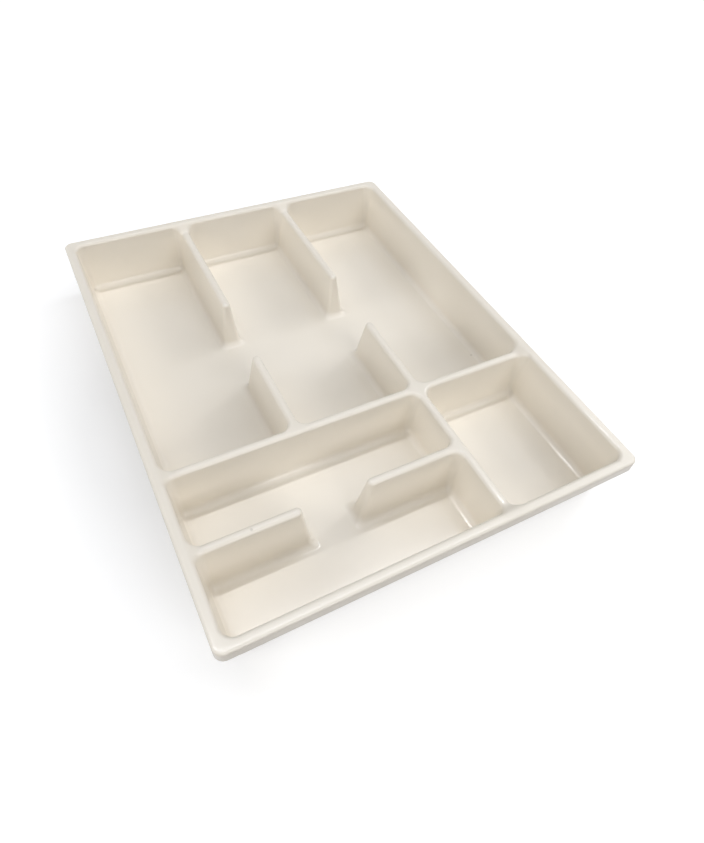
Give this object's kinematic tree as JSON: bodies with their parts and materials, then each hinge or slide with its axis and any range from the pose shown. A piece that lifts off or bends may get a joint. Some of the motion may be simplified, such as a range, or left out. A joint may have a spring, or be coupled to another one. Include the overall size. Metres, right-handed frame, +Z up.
{
  "type": "drawer organizer insert",
  "caption": "Shallow one-piece plastic tray with a flat rim; low ridges divide it into long columns, pen slots and an open box, to sort small supplies in a desk drawer.",
  "frame": {"origin": "middle of the tray's footprint, on the surface that its floor rests on", "axes": "+X to the tray's right, +Y from its front edge to its back edge, +Z up out of the wells"},
  "size_m": [0.305, 0.3884, 0.0454],
  "materials": {
    "ivory_plastic": "gloss, lightly mottled ivory plastic"
  },
  "bodies": {
    "root": {"tray": "ivory_plastic"}
  },
  "joints": []
}
